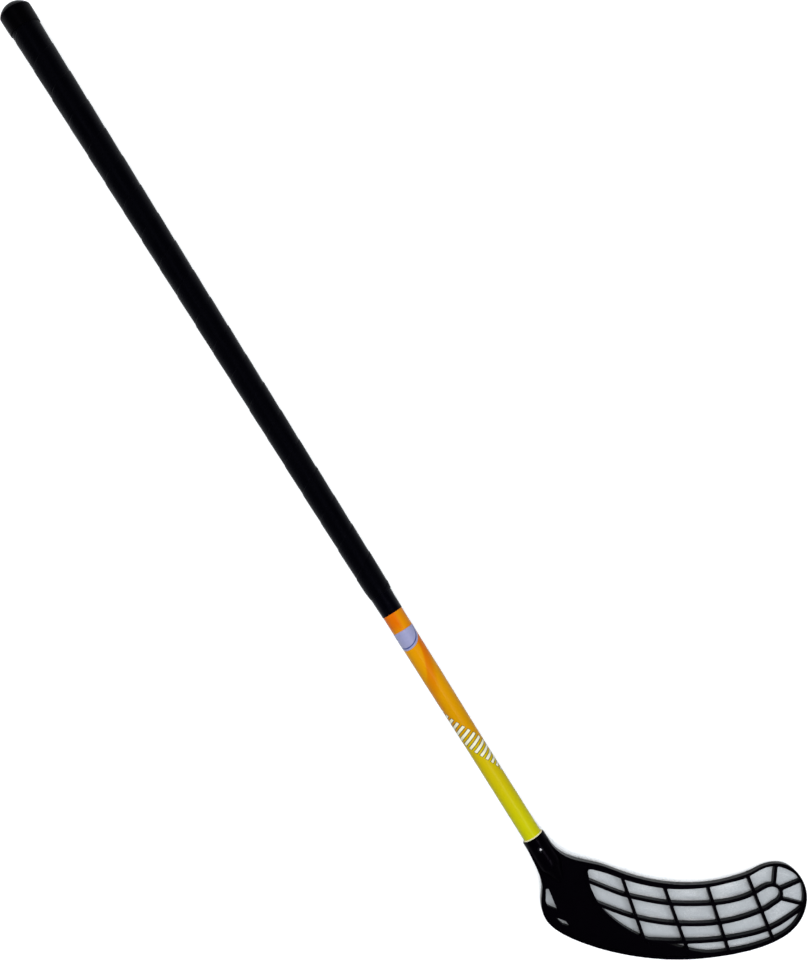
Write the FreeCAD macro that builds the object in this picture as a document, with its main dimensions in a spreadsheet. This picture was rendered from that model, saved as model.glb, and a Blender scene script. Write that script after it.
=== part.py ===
import FreeCAD, Part
import math
import os
import Sketcher

# Floorball stick, in millimetres and degrees.
# The origin is the centre of the tube's butt end. +X runs down the shaft to the blade,
# +Z is square to the blade's face, on the side of the screw, and the blade reaches towards +X and +Y.
# The blade has a frame of its own: its origin is the centre of the socket's mouth, u runs along the
# sole from heel to toe and v runs up from the sole. The lie angle turns it into the stick's frame.

SIZES = (
    # Shaft tube
    ("tube_length", 972.4, "butt end to tip"),
    ("tube_wall", 1.6, "wall of the tube"),
    ("butt_diameter", 27, "outside, at the butt end"),
    ("bare_length", 277.5, "lower end of the grip to the blade's socket"),
    ("waist_inset", 338, "where the taper eases to the lower end of the grip"),
    ("waist_diameter", 23.3, "outside, where the taper eases"),
    ("foot_diameter", 21, "outside, at the lower end of the grip"),
    ("shoulder_diameter", 20.5, "outside, at the start of the lower taper"),
    ("lower_taper", 85, "length of the lower taper"),
    ("straight_length", 100.4, "end of the lower taper to the blade's socket"),
    ("tip_diameter", 18.9, "outside, below the lower taper"),
    # End cap
    ("cap_diameter", 32.9, "outside of the skirt"),
    ("cap_end_thickness", 10.2, "apex to the face over the tube's end"),
    ("cap_seat_gap", 0.2, "tube's end to the inside of the cap"),
    ("cap_dome_height", 9, "apex to the top of the skirt"),
    ("cap_edge_round", 2.4, "round where dome and skirt meet"),
    ("cap_skirt_reach", 18.2, "tube's end to the skirt's edge"),
    ("cap_fit_clearance", 0.3, "cap to tube, on the radius"),
    ("plug_length", 24, "plug inside the tube"),
    ("plug_wall", 2.6, "wall of the hollow plug"),
    ("cap_crown", 4.5, "rubber between the hollow and the apex"),
    # Grip band
    ("grip_turns", 21, "turns of the band"),
    ("grip_cap_gap", 0.7, "cap's skirt to the band"),
    ("grip_lay_clearance", 0.15, "tube to the band"),
    ("grip_high_edge", 1.95, "thickness at the edge that lies over the turn before"),
    ("grip_low_edge", 1.55, "thickness at the edge that the next turn covers"),
    ("grip_turn_gap", 0.55, "turn to turn"),
    ("grip_tail_width", 2, "width of the band's trimmed ends"),
    # Finishing tape
    ("finish_width", 21, "width of the wound tape"),
    ("finish_grip_gap", 0.3, "grip to the tape"),
    ("finish_build", 0.85, "thickness against the grip"),
    ("finish_edge", 0.3, "thickness at its lower edge"),
    ("film_clearance", 0.05, "tube to the tape and the label"),
    # Label
    ("label_offset", 19.3, "finishing tape to the label"),
    ("label_length", 20, "along the shaft"),
    ("label_sweep", 180, "round the shaft"),
    ("label_turn", 5, "middle of the label, turned from +Z towards -Y"),
    ("label_thickness", 0.15, "film"),
    # Socket and glue
    ("lie_angle", 57.86, "shaft to the sole"),
    ("socket_depth", 30, "tube inside the blade"),
    ("socket_floor_gap", 0.3, "tube's tip to the floor of the socket"),
    ("socket_wall", 1.7, "wall at the mouth"),
    ("socket_swell", 0.6, "growth of the radius down to the floor"),
    ("mouth_round", 0.8, "bevel round the mouth"),
    ("ridge_length", 22, "ridge below the socket"),
    ("ridge_tip_diameter", 5, "end of the ridge"),
    ("glue_film", 0.4, "tube to the socket's wall"),
    ("glue_clearance", 0.05, "glue to its neighbours"),
    ("glue_bead", 0.9, "bead round the mouth"),
    # Screw
    ("screw_inset", 12.5, "mouth to the screw"),
    ("screw_diameter", 3.5, "shank"),
    ("screw_length", 7, "head's top to the tip"),
    ("screw_tip_length", 1.2, "pointed end"),
    ("screw_head_diameter", 6, "countersunk head"),
    ("screw_head_height", 1.1, "head's top to the shank"),
    ("screw_head_edge", 0.35, "straight edge of the head"),
    ("screw_sink", 0.6, "crest of the socket to the head's top"),
    ("screw_clearance", 0.3, "hole to screw, on the radius"),
    ("drive_span", 3.4, "cross recess, tip to tip"),
    ("drive_width", 0.8, "cross recess, across an arm"),
    ("drive_depth", 0.9, "cross recess"),
    # Blade
    ("blade_length", 259.4, "heel to toe along the sole"),
    ("blade_height", 91.6, "sole to the top of the toe"),
    ("sole_drop", 118.7, "middle of the mouth down to the sole"),
    ("heel_offset", 7.8, "middle of the mouth to the back of the heel"),
    ("wing_start", 8, "mouth to where the rim leaves the socket"),
    ("bend_start", 64, "back of the heel to where the blade bends"),
    ("toe_hook", 10, "drop of the toe"),
    ("toe_thinning", 4, "how much thinner the blade is at the toe"),
    ("rim_depth", 12, "rim, face to face"),
    ("rim_lip", 1.6, "width of the raised lip"),
    ("heel_border", 2.8, "rim beside the heel plate"),
    ("rib_depth", 10.4, "ribs, face to face"),
    ("rib_width", 3.1, "width of a rib"),
    ("plate_depth", 6, "heel plate, face to face"),
    ("cell_round", 1, "round in the corners of the openings"),
    # Cuts
    ("overrun", 2, "past the face that a cut goes through"),
)

# The points of the blade are shares of its length from the heel and of its height from the sole.
OUTLINE_SHARES = (
    (-0.0112, 0.9285), (0.0031, 0.768), (0.0000, 0.649), (0.0019, 0.537), (0.0182, 0.4225),
    (0.0425, 0.3465), (0.0835, 0.2685), (0.1283, 0.209), (0.2141, 0.1243), (0.3261, 0.0495),
    (0.4478, 0.0066), (0.5483, 0.0), (0.6685, 0.0264), (0.7852, 0.0847), (0.8783, 0.1705),
    (0.9397, 0.2739), (0.9784, 0.3993), (0.9977, 0.5424), (1.0000, 0.6667), (0.988, 0.7899),
    (0.9617, 0.9032), (0.925, 0.9791), (0.8767, 1.0), (0.8331, 0.9747), (0.7825, 0.9065),
    (0.74, 0.8658), (0.6445, 0.8053), (0.5568, 0.7888), (0.4772, 0.8009), (0.3864, 0.846),
    (0.3184, 0.901), (0.2168, 1.0033), (0.1341, 1.0539), (0.0846, 1.1078), (0.0587, 1.1606),
)
# The field is the part of the blade that is open between its ribs.
FIELD_SHARES = (
    (0.1745, 0.91), (0.1735, 0.93), (0.175, 0.947), (0.1805, 0.955), (0.1925, 0.9535),
    (0.2108, 0.9388), (0.2284, 0.9263), (0.2855, 0.8702), (0.3864, 0.7877),
    (0.4803, 0.747), (0.5444, 0.7415), (0.6387, 0.7646), (0.7172, 0.811), (0.7662, 0.8498),
    (0.8253, 0.9362), (0.8674, 0.9681), (0.9025, 0.956), (0.9335, 0.92), (0.9625, 0.861),
    (0.9808, 0.7635), (0.9868, 0.66), (0.9838, 0.551), (0.9668, 0.4125), (0.932, 0.3014),
    (0.8972, 0.2398), (0.8122, 0.1496), (0.7546, 0.1111), (0.6897, 0.0835), (0.614, 0.0715),
    (0.548, 0.107), (0.4741, 0.165), (0.4131, 0.206), (0.351, 0.279), (0.304, 0.3593),
    (0.2577, 0.46), (0.2204, 0.5699), (0.1955, 0.6951), (0.1804, 0.8073),
)
# The two upper ribs are one strip that turns back in front of the toe.
HAIRPIN_SHARES = (
    (0.166, 0.8415), (0.2, 0.8009), (0.2469, 0.747), (0.2932, 0.6975), (0.386, 0.6315),
    (0.4787, 0.5886), (0.5715, 0.5776), (0.6642, 0.5875), (0.757, 0.6392), (0.8072, 0.6988),
    (0.8378, 0.747), (0.8674, 0.7685), (0.8935, 0.7389), (0.9035, 0.68), (0.8969, 0.6157),
    (0.8793, 0.5807), (0.8566, 0.5353), (0.8298, 0.4999), (0.7106, 0.3982), (0.6178, 0.3674),
    (0.5251, 0.3685), (0.386, 0.4191), (0.2932, 0.4972), (0.236, 0.559), (0.19, 0.616),
)
LOW_RIB_SHARES = (
    (0.993, 0.553), (0.9605, 0.474), (0.9335, 0.4225), (0.895, 0.3561), (0.8605, 0.3107),
    (0.757, 0.2343), (0.6642, 0.198), (0.5715, 0.1837), (0.4787, 0.1848), (0.386, 0.199),
)
# Straight ribs across the field, each from its upper to its lower end, and the spokes of the toe.
CROSS_RIB_SHARES = (
    ((0.2997, 0.882), (0.389, 0.1795)),
    ((0.4598, 0.7635), (0.5498, 0.08)),
    ((0.6217, 0.7745), (0.7052, 0.055)),
    ((0.7716, 0.89), (0.8763, 0.1573)),
    ((0.8829, 0.99), (0.8747, 0.75)),
    ((0.989, 0.8225), (0.8955, 0.7175)),
    ((0.998, 0.5465), (0.8955, 0.6255)),
)
# Two openings in the heel plate.
HEEL_OPENING_SHARES = (
    ((0.018, 0.7405), (0.0281, 0.7437), (0.0603, 0.5206), (0.0224, 0.5686), (0.0176, 0.6156)),
    ((0.0547, 0.4417), (0.0918, 0.4022), (0.1087, 0.3424), (0.0798, 0.3702)),
)
# The thin heel plate ends inside this border, where it isn't bounded by the rim or the field.
HEEL_ZONE_SHARES = ((-0.1, 1.4), (0.177, 1.4), (0.177, 0.9), (0.55, 0.15), (0.55, -0.1), (-0.1, -0.1))
# The rim leaves the socket just inside its wall.
WING_ROOT_SHARE = 0.96

QUARTER_TURNS = 4
GAP_SAMPLES = 9
BESIDE_SAMPLES = 64
# Openings of a smaller area than this share of the blade's height squared keep their corners.
NARROW_AREA_SHARE = 0.006
# An edge of an opening is rounded where it stands upright and its faces turn by more than the first
# angle there. The narrow tips, which turn by more than the second, stay sharp.
UPRIGHT_SHARE = 0.99
CORNER_DEGREES = 15
TIP_DEGREES = 120

doc = FreeCAD.newDocument("FloorballStick")
sheet = doc.addObject("Spreadsheet::Sheet", "Sizes")
for row, (alias, value, note) in enumerate(SIZES, start=1):
    sheet.set("A%d" % row, note)
    sheet.set("B%d" % row, str(value))
    sheet.setAlias("B%d" % row, alias)
doc.recompute()


class Size:
    """A size worked out from the sheet: a formula to bind to and its value now."""

    def __init__(self, formula, value):
        self.formula = formula
        self.value = float(value)

    def __float__(self):
        return self.value

    def __neg__(self):
        return Size("(-%s)" % self.formula, -self.value)

    def __add__(self, other):
        return Size("(%s + %s)" % (self.formula, other.formula), self.value + other.value)

    def __sub__(self, other):
        return Size("(%s - %s)" % (self.formula, other.formula), self.value - other.value)

    def __mul__(self, other):
        other = as_size(other)
        return Size("(%s * %s)" % (self.formula, other.formula), self.value * other.value)

    def __truediv__(self, other):
        other = as_size(other)
        return Size("(%s / %s)" % (self.formula, other.formula), self.value / other.value)


def as_size(value):
    """A plain factor, as a Size."""
    return value if isinstance(value, Size) else Size(repr(value), value)


def cell(alias):
    """The sheet's cell of that name."""
    return Size("Sizes." + alias, sheet.get(alias))


def bind(thing, **sizes):
    """Bind properties of a document object to sizes; X, Y and Z stand for its place."""
    places = {"X": "Placement.Base.x", "Y": "Placement.Base.y", "Z": "Placement.Base.z"}
    for name, value in sizes.items():
        thing.setExpression(places.get(name, name), value.formula)


ZERO = Size("0", 0)
X_AXIS = FreeCAD.Vector(1, 0, 0)
Y_AXIS = FreeCAD.Vector(0, 1, 0)
Z_AXIS = FreeCAD.Vector(0, 0, 1)
ALONG_SHAFT = FreeCAD.Rotation(Z_AXIS, X_AXIS)

# Places along the shaft
MOUTH = cell("tube_length") - cell("socket_depth")
SCREW_PLACE = MOUTH + cell("screw_inset")
GRIP_START = cell("cap_skirt_reach") + cell("grip_cap_gap")
GRIP_END = MOUTH - cell("bare_length")
FINISH_START = GRIP_END + cell("finish_grip_gap")
FINISH_END = FINISH_START + cell("finish_width")
LABEL_START = FINISH_END + cell("label_offset")
LABEL_END = LABEL_START + cell("label_length")
WAIST = GRIP_END - cell("waist_inset")
TAPER_END = MOUTH - cell("straight_length")
SHOULDER = TAPER_END - cell("lower_taper")

# The tube's outside: places along the shaft with their radii
TUBE_OUTSIDE = (
    (ZERO, cell("butt_diameter") / 2),
    (WAIST, cell("waist_diameter") / 2),
    (GRIP_END, cell("foot_diameter") / 2),
    (SHOULDER, cell("shoulder_diameter") / 2),
    (TAPER_END, cell("tip_diameter") / 2),
    (cell("tube_length"), cell("tip_diameter") / 2),
)
TIP_RADIUS = cell("tip_diameter") / 2
BORE_RADIUS = TIP_RADIUS + cell("glue_film")
MOUTH_RADIUS = BORE_RADIUS + cell("socket_wall")
FLOOR = cell("socket_depth") + cell("socket_floor_gap")
SCREW_HEAD_TOP = MOUTH_RADIUS - cell("screw_sink")
SHANK_HOLE_RADIUS = cell("screw_diameter") / 2 + cell("screw_clearance")


def tube_radius(place):
    """The tube's outside radius at a place along the shaft, as a Size."""
    spans = list(zip(TUBE_OUTSIDE, TUBE_OUTSIDE[1:]))
    for (start, first), (end, last) in spans:
        if float(place) <= float(end):
            break
    return first + (last - first) * ((place - start) / (end - start))


def origin_plane(body, role):
    """One of the body's own origin planes."""
    return next(plane for plane in body.Origin.OriginFeatures if plane.Role == role)


def new_body(label):
    """An empty body with its label."""
    body = doc.addObject("PartDesign::Body", label)
    body.Label = label
    return body


def new_sketch(body, name, role):
    """A sketch on one of the body's origin planes."""
    sketch = body.newObject("Sketcher::SketchObject", name)
    sketch.AttachmentSupport = [(origin_plane(body, role), "")]
    sketch.MapMode = "FlatFace"
    return sketch


def fix_point(sketch, line, end, corner):
    """Hold one end of a line at a corner, each way by a bound distance from the sketch's origin."""
    for kind, axis, value in (("DistanceX", -2, corner[0]), ("DistanceY", -1, corner[1])):
        if float(value) == 0:
            sketch.addConstraint(Sketcher.Constraint("PointOnObject", line, end, axis))
            continue
        ends = (-1, 1, line, end) if float(value) > 0 else (line, end, -1, 1)
        held = value if float(value) > 0 else -value
        index = sketch.addConstraint(Sketcher.Constraint(kind, *ends, float(held)))
        sketch.setExpression("Constraints[%d]" % index, held.formula)


def add_polygon(sketch, corners, closed=True):
    """Straight lines from corner to corner, with every corner held."""
    points = [FreeCAD.Vector(float(x), float(y), 0) for x, y in corners]
    ends = points[1:] + points[:1] if closed else points[1:]
    lines = [sketch.addGeometry(Part.LineSegment(a, b), False) for a, b in zip(points, ends)]
    for line, following in zip(lines, lines[1:]):
        sketch.addConstraint(Sketcher.Constraint("Coincident", line, 2, following, 1))
    if closed:
        sketch.addConstraint(Sketcher.Constraint("Coincident", lines[-1], 2, lines[0], 1))
    for line, corner in zip(lines, corners):
        fix_point(sketch, line, 1, corner)
    if not closed:
        fix_point(sketch, lines[-1], 2, corners[-1])
    return lines


def turned_body(label, corners):
    """A body turned round the shaft's axis from a closed profile of (place, radius) corners."""
    body = new_body(label)
    sketch = new_sketch(body, label + "_profile", "XZ_Plane")
    add_polygon(sketch, corners)
    turn = body.newObject("PartDesign::Revolution", label + "_turn")
    turn.Profile = sketch
    turn.ReferenceAxis = (sketch, ["H_Axis"])
    sketch.Visibility = False
    doc.recompute()
    return body


def bore_screw_hole(body, radius, depth):
    """Cut the screw's hole from the shaft's axis up through the +Z wall."""
    before = body.Shape.Volume
    sketch = new_sketch(body, body.Label + "_screw_hole", "XY_Plane")
    centre = FreeCAD.Vector(float(SCREW_PLACE), 0, 0)
    circle = sketch.addGeometry(Part.Circle(centre, Z_AXIS, float(radius)), False)
    fix_point(sketch, circle, 3, (SCREW_PLACE, ZERO))
    index = sketch.addConstraint(Sketcher.Constraint("Radius", circle, float(radius)))
    sketch.setExpression("Constraints[%d]" % index, radius.formula)
    pocket = body.newObject("PartDesign::Pocket", body.Label + "_screw_pocket")
    pocket.Profile = sketch
    pocket.Reversed = True
    bind(pocket, Length=depth)
    doc.recompute()
    if body.Shape.Volume >= before:
        raise RuntimeError("the screw hole misses " + body.Label)


def make_tube():
    """The tapered hollow shaft, with the hole for the blade's screw near its tip."""
    inside = [(place, radius - cell("tube_wall")) for place, radius in reversed(TUBE_OUTSIDE)]
    body = turned_body("shaft_tube", list(TUBE_OUTSIDE) + inside)
    bore_screw_hole(body, SHANK_HOLE_RADIUS, TIP_RADIUS + cell("overrun"))
    return body


def make_cap():
    """The rubber cap: a shallow dome, a skirt over the tube's end and a hollow plug inside it."""
    radius = cell("cap_diameter") / 2
    seat = -cell("cap_seat_gap")
    apex = seat - cell("cap_end_thickness")
    brow = apex + cell("cap_dome_height")
    skirt_bore = cell("butt_diameter") / 2 + cell("cap_fit_clearance")
    plug_radius = tube_radius(cell("plug_length")) - cell("tube_wall") - cell("cap_fit_clearance")
    plug_bore = plug_radius - cell("plug_wall")
    body = new_body("end_cap")
    sketch = new_sketch(body, "end_cap_profile", "XZ_Plane")
    corners = [
        (brow, radius),
        (cell("cap_skirt_reach"), radius),
        (cell("cap_skirt_reach"), skirt_bore),
        (seat, skirt_bore),
        (seat, plug_radius),
        (cell("plug_length"), plug_radius),
        (cell("plug_length"), plug_bore),
        (apex + cell("cap_crown"), plug_bore),
        (apex + cell("cap_crown"), ZERO),
        (apex, ZERO),
    ]
    lines = add_polygon(sketch, corners, closed=False)
    height = float(cell("cap_dome_height"))
    dome = (float(radius) ** 2 + height ** 2) / (2 * height)
    centre = FreeCAD.Vector(float(apex) + dome, 0, 0)
    start = math.atan2(float(radius), float(brow) - centre.x)
    circle = Part.Circle(centre, Z_AXIS, dome)
    arc = sketch.addGeometry(Part.ArcOfCircle(circle, start, math.pi), False)
    sketch.addConstraint(Sketcher.Constraint("Coincident", arc, 1, lines[0], 1))
    sketch.addConstraint(Sketcher.Constraint("Coincident", arc, 2, lines[-1], 2))
    sketch.addConstraint(Sketcher.Constraint("PointOnObject", arc, 3, -1))
    turn = body.newObject("PartDesign::Revolution", "end_cap_turn")
    turn.Profile = sketch
    turn.ReferenceAxis = (sketch, ["H_Axis"])
    doc.recompute()
    brow_edges = []
    for number, edge in enumerate(turn.Shape.Edges, start=1):
        box = edge.BoundBox
        at_brow = abs(box.XMin - float(brow)) + abs(box.XMax - float(brow)) < float(cell("film_clearance"))
        if at_brow and box.ZMax > float(skirt_bore):
            brow_edges.append("Edge%d" % number)
    soft = body.newObject("PartDesign::Fillet", "end_cap_round")
    soft.Base = (turn, brow_edges)
    bind(soft, Radius=cell("cap_edge_round"))
    doc.recompute()
    return body


def make_finish_tape():
    """The wound tape that holds the grip's lower end, thinner towards its edge."""
    film = cell("film_clearance")
    under = [(FINISH_END, tube_radius(FINISH_END) + film), (FINISH_START, tube_radius(FINISH_START) + film)]
    over = [
        (FINISH_START, tube_radius(FINISH_START) + film + cell("finish_build")),
        (FINISH_END, tube_radius(FINISH_END) + film + cell("finish_edge")),
    ]
    return turned_body("grip_finish_tape", under + over)


def make_label():
    """A blank sticker laid round part of the tube."""
    low = [tube_radius(place) + cell("film_clearance") for place in (LABEL_START, LABEL_END)]
    high = [radius + cell("label_thickness") for radius in low]
    corners = [(LABEL_START, low[0]), (LABEL_END, low[1]), (LABEL_END, high[1]), (LABEL_START, high[0])]
    body = turned_body("shaft_label", corners)
    turn = body.Tip
    turn.Midplane = True
    bind(turn, Angle=cell("label_sweep"))
    body.Placement = FreeCAD.Placement(FreeCAD.Vector(), FreeCAD.Rotation(X_AXIS, 0))
    body.setExpression("Placement.Rotation.Angle", cell("label_turn").formula)
    doc.recompute()
    return body


def make_glue():
    """The glue that fills the socket round the tube, with a bead standing at the mouth."""
    film = cell("glue_clearance")
    bead = cell("glue_bead")
    inner = TIP_RADIUS + film
    outer = BORE_RADIUS - film
    lip = MOUTH - film
    corners = [
        (MOUTH - bead, inner),
        (cell("tube_length"), inner),
        (cell("tube_length"), outer),
        (MOUTH + film, outer),
        (lip, outer),
        (lip, inner + bead),
        (MOUTH - bead / 2, inner + bead),
    ]
    body = turned_body("socket_glue", corners)
    bore_screw_hole(body, SHANK_HOLE_RADIUS, BORE_RADIUS + cell("overrun"))
    return body


def make_screw():
    """The countersunk screw, turned round its own axis, with a cross recess in its head."""
    head = cell("screw_head_diameter") / 2
    shank = cell("screw_diameter") / 2
    tip = cell("screw_length") - cell("screw_tip_length")
    body = new_body("blade_screw")
    sketch = new_sketch(body, "blade_screw_profile", "XZ_Plane")
    corners = [
        (ZERO, ZERO),
        (head, ZERO),
        (head, -cell("screw_head_edge")),
        (shank, -cell("screw_head_height")),
        (shank, -tip),
        (ZERO, -cell("screw_length")),
    ]
    add_polygon(sketch, corners)
    turn = body.newObject("PartDesign::Revolution", "blade_screw_turn")
    turn.Profile = sketch
    turn.ReferenceAxis = (sketch, ["V_Axis"])
    doc.recompute()
    before = body.Shape.Volume
    span = cell("drive_span") / 2
    arm = cell("drive_width") / 2
    quarter = [(span, arm), (arm, arm), (arm, span)]
    cross = quarter + [(-y, x) for x, y in quarter]
    cross = cross + [(-x, -y) for x, y in cross]
    recess = new_sketch(body, "blade_screw_cross", "XY_Plane")
    add_polygon(recess, cross)
    pocket = body.newObject("PartDesign::Pocket", "blade_screw_drive")
    pocket.Profile = recess
    bind(pocket, Length=cell("drive_depth"))
    doc.recompute()
    if body.Shape.Volume >= before:
        raise RuntimeError("the cross recess misses the head")
    bind(body, X=SCREW_PLACE, Z=SCREW_HEAD_TOP)
    doc.recompute()
    return body


def band_point(turns, edge, height_name):
    """A point of the grip band: turns wound so far, edge 0 towards the cap or 1 towards the blade."""
    start, end = float(GRIP_START), float(GRIP_END)
    tail, gap = float(cell("grip_tail_width")), float(cell("grip_turn_gap"))
    count = float(cell("grip_turns"))
    step = tail + gap
    pitch = (end - start - tail - step) / (count - 1)
    if edge:
        trimmed = end - step * max(0, 1 - (turns - count + 1) * QUARTER_TURNS)
        place = trimmed if turns > count - 1 else start + tail + pitch * turns
    else:
        trimmed = start + step * max(0, 1 - (1 - turns) * QUARTER_TURNS)
        place = trimmed if turns < 1 else start + step + pitch * (turns - 1)
    around = 2 * math.pi * turns
    radius = float(tube_radius(Size("", place))) + float(cell("grip_lay_clearance"))
    if height_name:
        radius += float(cell(height_name))
    return FreeCAD.Vector(place, -radius * math.sin(around), radius * math.cos(around))


BAND_CORNERS = ((0, ""), (1, ""), (1, "grip_low_edge"), (0, "grip_high_edge"))


def band_arc(corner, quarter):
    """One corner of the band's section over a quarter turn, as an arc."""
    places = [(quarter + share) / QUARTER_TURNS for share in (0.0, 0.5, 1.0)]
    return Part.Arc(*[band_point(turns, *corner) for turns in places])


def make_grip():
    """The grip: one flat band wound round the tube, each turn beside the one before."""
    quarters = int(cell("grip_turns").value) * QUARTER_TURNS
    arcs = [[band_arc(corner, quarter) for corner in BAND_CORNERS] for quarter in range(quarters)]
    faces = []
    for section in arcs:
        edges = [arc.toShape() for arc in section]
        faces += [Part.makeRuledSurface(a, b) for a, b in zip(edges, edges[1:] + edges[:1])]
    for turns in (0, cell("grip_turns").value):
        corners = [band_point(turns, *corner) for corner in BAND_CORNERS]
        faces.append(Part.Face(Part.makePolygon(corners + corners[:1])))
    shell = Part.Compound(faces)
    shell.sewShape()
    solid = Part.Solid(shell.Shells[0])
    if solid.Volume < 0:
        solid.reverse()
    band = doc.addObject("Part::Feature", "grip_tape")
    band.Label = "grip_tape"
    band.Shape = solid
    band.Placement = FreeCAD.Placement()
    print_least_gap(arcs)
    return band


def print_least_gap(arcs):
    """Print the least distance between one turn's lower edge and the next turn's upper edge."""
    least = math.inf
    for this, following in zip(arcs, arcs[QUARTER_TURNS:]):
        for step in range(GAP_SAMPLES):
            share = step / (GAP_SAMPLES - 1)
            for low, high in ((this[1], following[0]), (this[2], following[3])):
                here = low.value(low.FirstParameter + share * (low.LastParameter - low.FirstParameter))
                there = high.value(high.FirstParameter + share * (high.LastParameter - high.FirstParameter))
                least = min(least, here.distanceToPoint(there))
    print("grip_tape: least gap from turn to turn %.3f mm" % least)


def blade_point(shares):
    """A point of the blade's plan from its shares."""
    along = float(cell("heel_offset")) + shares[0] * float(cell("blade_length"))
    up = shares[1] * float(cell("blade_height")) - float(cell("sole_drop"))
    return FreeCAD.Vector(along, up, 0)


def wing_root(side):
    """Where the rim leaves the socket's wall, side -1 at the heel and 1 above the blade."""
    lie = math.radians(float(cell("lie_angle")))
    axis = FreeCAD.Vector(math.cos(lie), -math.sin(lie), 0)
    across = FreeCAD.Vector(math.sin(lie), math.cos(lie), 0)
    return axis * float(cell("wing_start")) + across * (side * WING_ROOT_SHARE * float(MOUTH_RADIUS))


def smooth_curve(points, closed=False):
    """A smooth curve through the points."""
    curve = Part.BSplineCurve()
    curve.interpolate(Points=points, PeriodicFlag=closed)
    return curve


def outline_curve():
    """The blade's outside: from the socket round heel, sole and toe, and back along the top."""
    points = [wing_root(-1)] + [blade_point(shares) for shares in OUTLINE_SHARES] + [wing_root(1)]
    return smooth_curve(points)


def closed_face(curve):
    """The face inside a curve, closed by a straight line where the curve is open."""
    edges = [curve.toShape()]
    if not curve.isClosed():
        edges.append(Part.makeLine(curve.EndPoint, curve.StartPoint))
    return Part.Face(Part.Wire(edges))


def flat_polygon(corner_shares):
    """The face inside straight lines from corner to corner."""
    return Part.Face(Part.makePolygon([blade_point(shares) for shares in corner_shares + corner_shares[:1]]))


def beside(curve, distance, closed=False):
    """A smooth curve that runs beside another at a distance, on its left where that is above zero."""
    span = curve.LastParameter - curve.FirstParameter
    steps = BESIDE_SAMPLES if closed else BESIDE_SAMPLES - 1
    points = []
    for step in range(BESIDE_SAMPLES):
        place = curve.FirstParameter + span * step / steps
        left = Z_AXIS.cross(curve.tangent(place)[0])
        points.append(curve.value(place) + left * distance)
    return smooth_curve(points, closed)


def curved_strip(points):
    """A rib's plan: a strip of the rib's width along a smooth line of points."""
    middle = smooth_curve(points)
    half = float(cell("rib_width")) / 2
    left, right = beside(middle, half), beside(middle, -half)
    ends = [Part.makeLine(right.EndPoint, left.EndPoint), Part.makeLine(left.StartPoint, right.StartPoint)]
    return Part.Face(Part.Wire([right.toShape(), ends[0], left.toShape(), ends[1]]))


def straight_strip(start, end):
    """A straight rib's plan: a strip of the rib's width from start to end."""
    across = Z_AXIS.cross(end - start).normalize() * (float(cell("rib_width")) / 2)
    corners = [start - across, end - across, end + across, start + across]
    return Part.Face(Part.makePolygon(corners + corners[:1]))


def plan_of_ribs():
    """The plans of all ribs of the field."""
    curved = (HAIRPIN_SHARES, LOW_RIB_SHARES)
    ribs = [curved_strip([blade_point(shares) for shares in line]) for line in curved]
    return ribs + [straight_strip(blade_point(start), blade_point(end)) for start, end in CROSS_RIB_SHARES]


def plan(name, shape):
    """A flat plan of the blade, kept as an object for the extrusions."""
    flat = doc.addObject("Part::Feature", name)
    flat.Shape = shape
    return flat


def prism(name, flat):
    """A plan carried through the whole depth of the blade, both ways."""
    solid = doc.addObject("Part::Extrusion", name)
    solid.Base = flat
    solid.DirMode = "Custom"
    solid.Dir = Z_AXIS
    solid.Solid = True
    reach = cell("toe_hook") + cell("rim_depth")
    bind(solid, LengthFwd=reach, LengthRev=reach)
    return solid


def is_corner(solid, edge):
    """Whether an edge of an opening stands upright at a corner that is to be rounded."""
    middle = (edge.FirstParameter + edge.LastParameter) / 2
    if abs(edge.tangentAt(middle).dot(Z_AXIS)) < UPRIGHT_SHARE:
        return False
    point = edge.valueAt(middle)
    faces = solid.ancestorsOfType(edge, Part.Face)
    normals = [face.normalAt(*face.Surface.parameter(point)) for face in faces]
    return CORNER_DEGREES < math.degrees(normals[0].getAngle(normals[1])) < TIP_DEGREES


def round_corners(name, openings):
    """The openings with the corners of their plans rounded."""
    doc.recompute()
    radius = float(cell("cell_round"))
    solid = openings.Shape
    soft = doc.addObject("Part::Fillet", name)
    soft.Base = openings
    numbered = enumerate(solid.Edges, start=1)
    soft.Edges = [(number, radius, radius) for number, edge in numbered if is_corner(solid, edge)]
    return soft


def combine(kind, name, base, tool):
    """A boolean of two objects."""
    result = doc.addObject(kind, name)
    result.Base = base
    result.Tool = tool
    return result


BEND_PLACE = cell("heel_offset") + cell("bend_start")
BEND_RUN = cell("blade_length") - cell("bend_start")
HOOK = cell("toe_hook")
BEND_RADIUS = (BEND_RUN * BEND_RUN + HOOK * HOOK) / (HOOK * 2)
# The back of the blade bends less than its front, so that the toe is thinner.
BEND_SQUARE = BEND_RUN * BEND_RUN
BACK_RADIUS = BEND_RADIUS * BEND_SQUARE / (BEND_SQUARE - BEND_RADIUS * cell("toe_thinning") * 2)


def roller(name, radius, top, span):
    """A cylinder across the blade, under its bend, whose highest line lies at the given height."""
    solid = doc.addObject("Part::Cylinder", name)
    solid.Placement = FreeCAD.Placement(FreeCAD.Vector(), FreeCAD.Rotation(Z_AXIS, Y_AXIS))
    bind(solid, Radius=radius, Height=span * 2, X=BEND_PLACE, Y=-span, Z=top - radius)
    return solid


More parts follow.
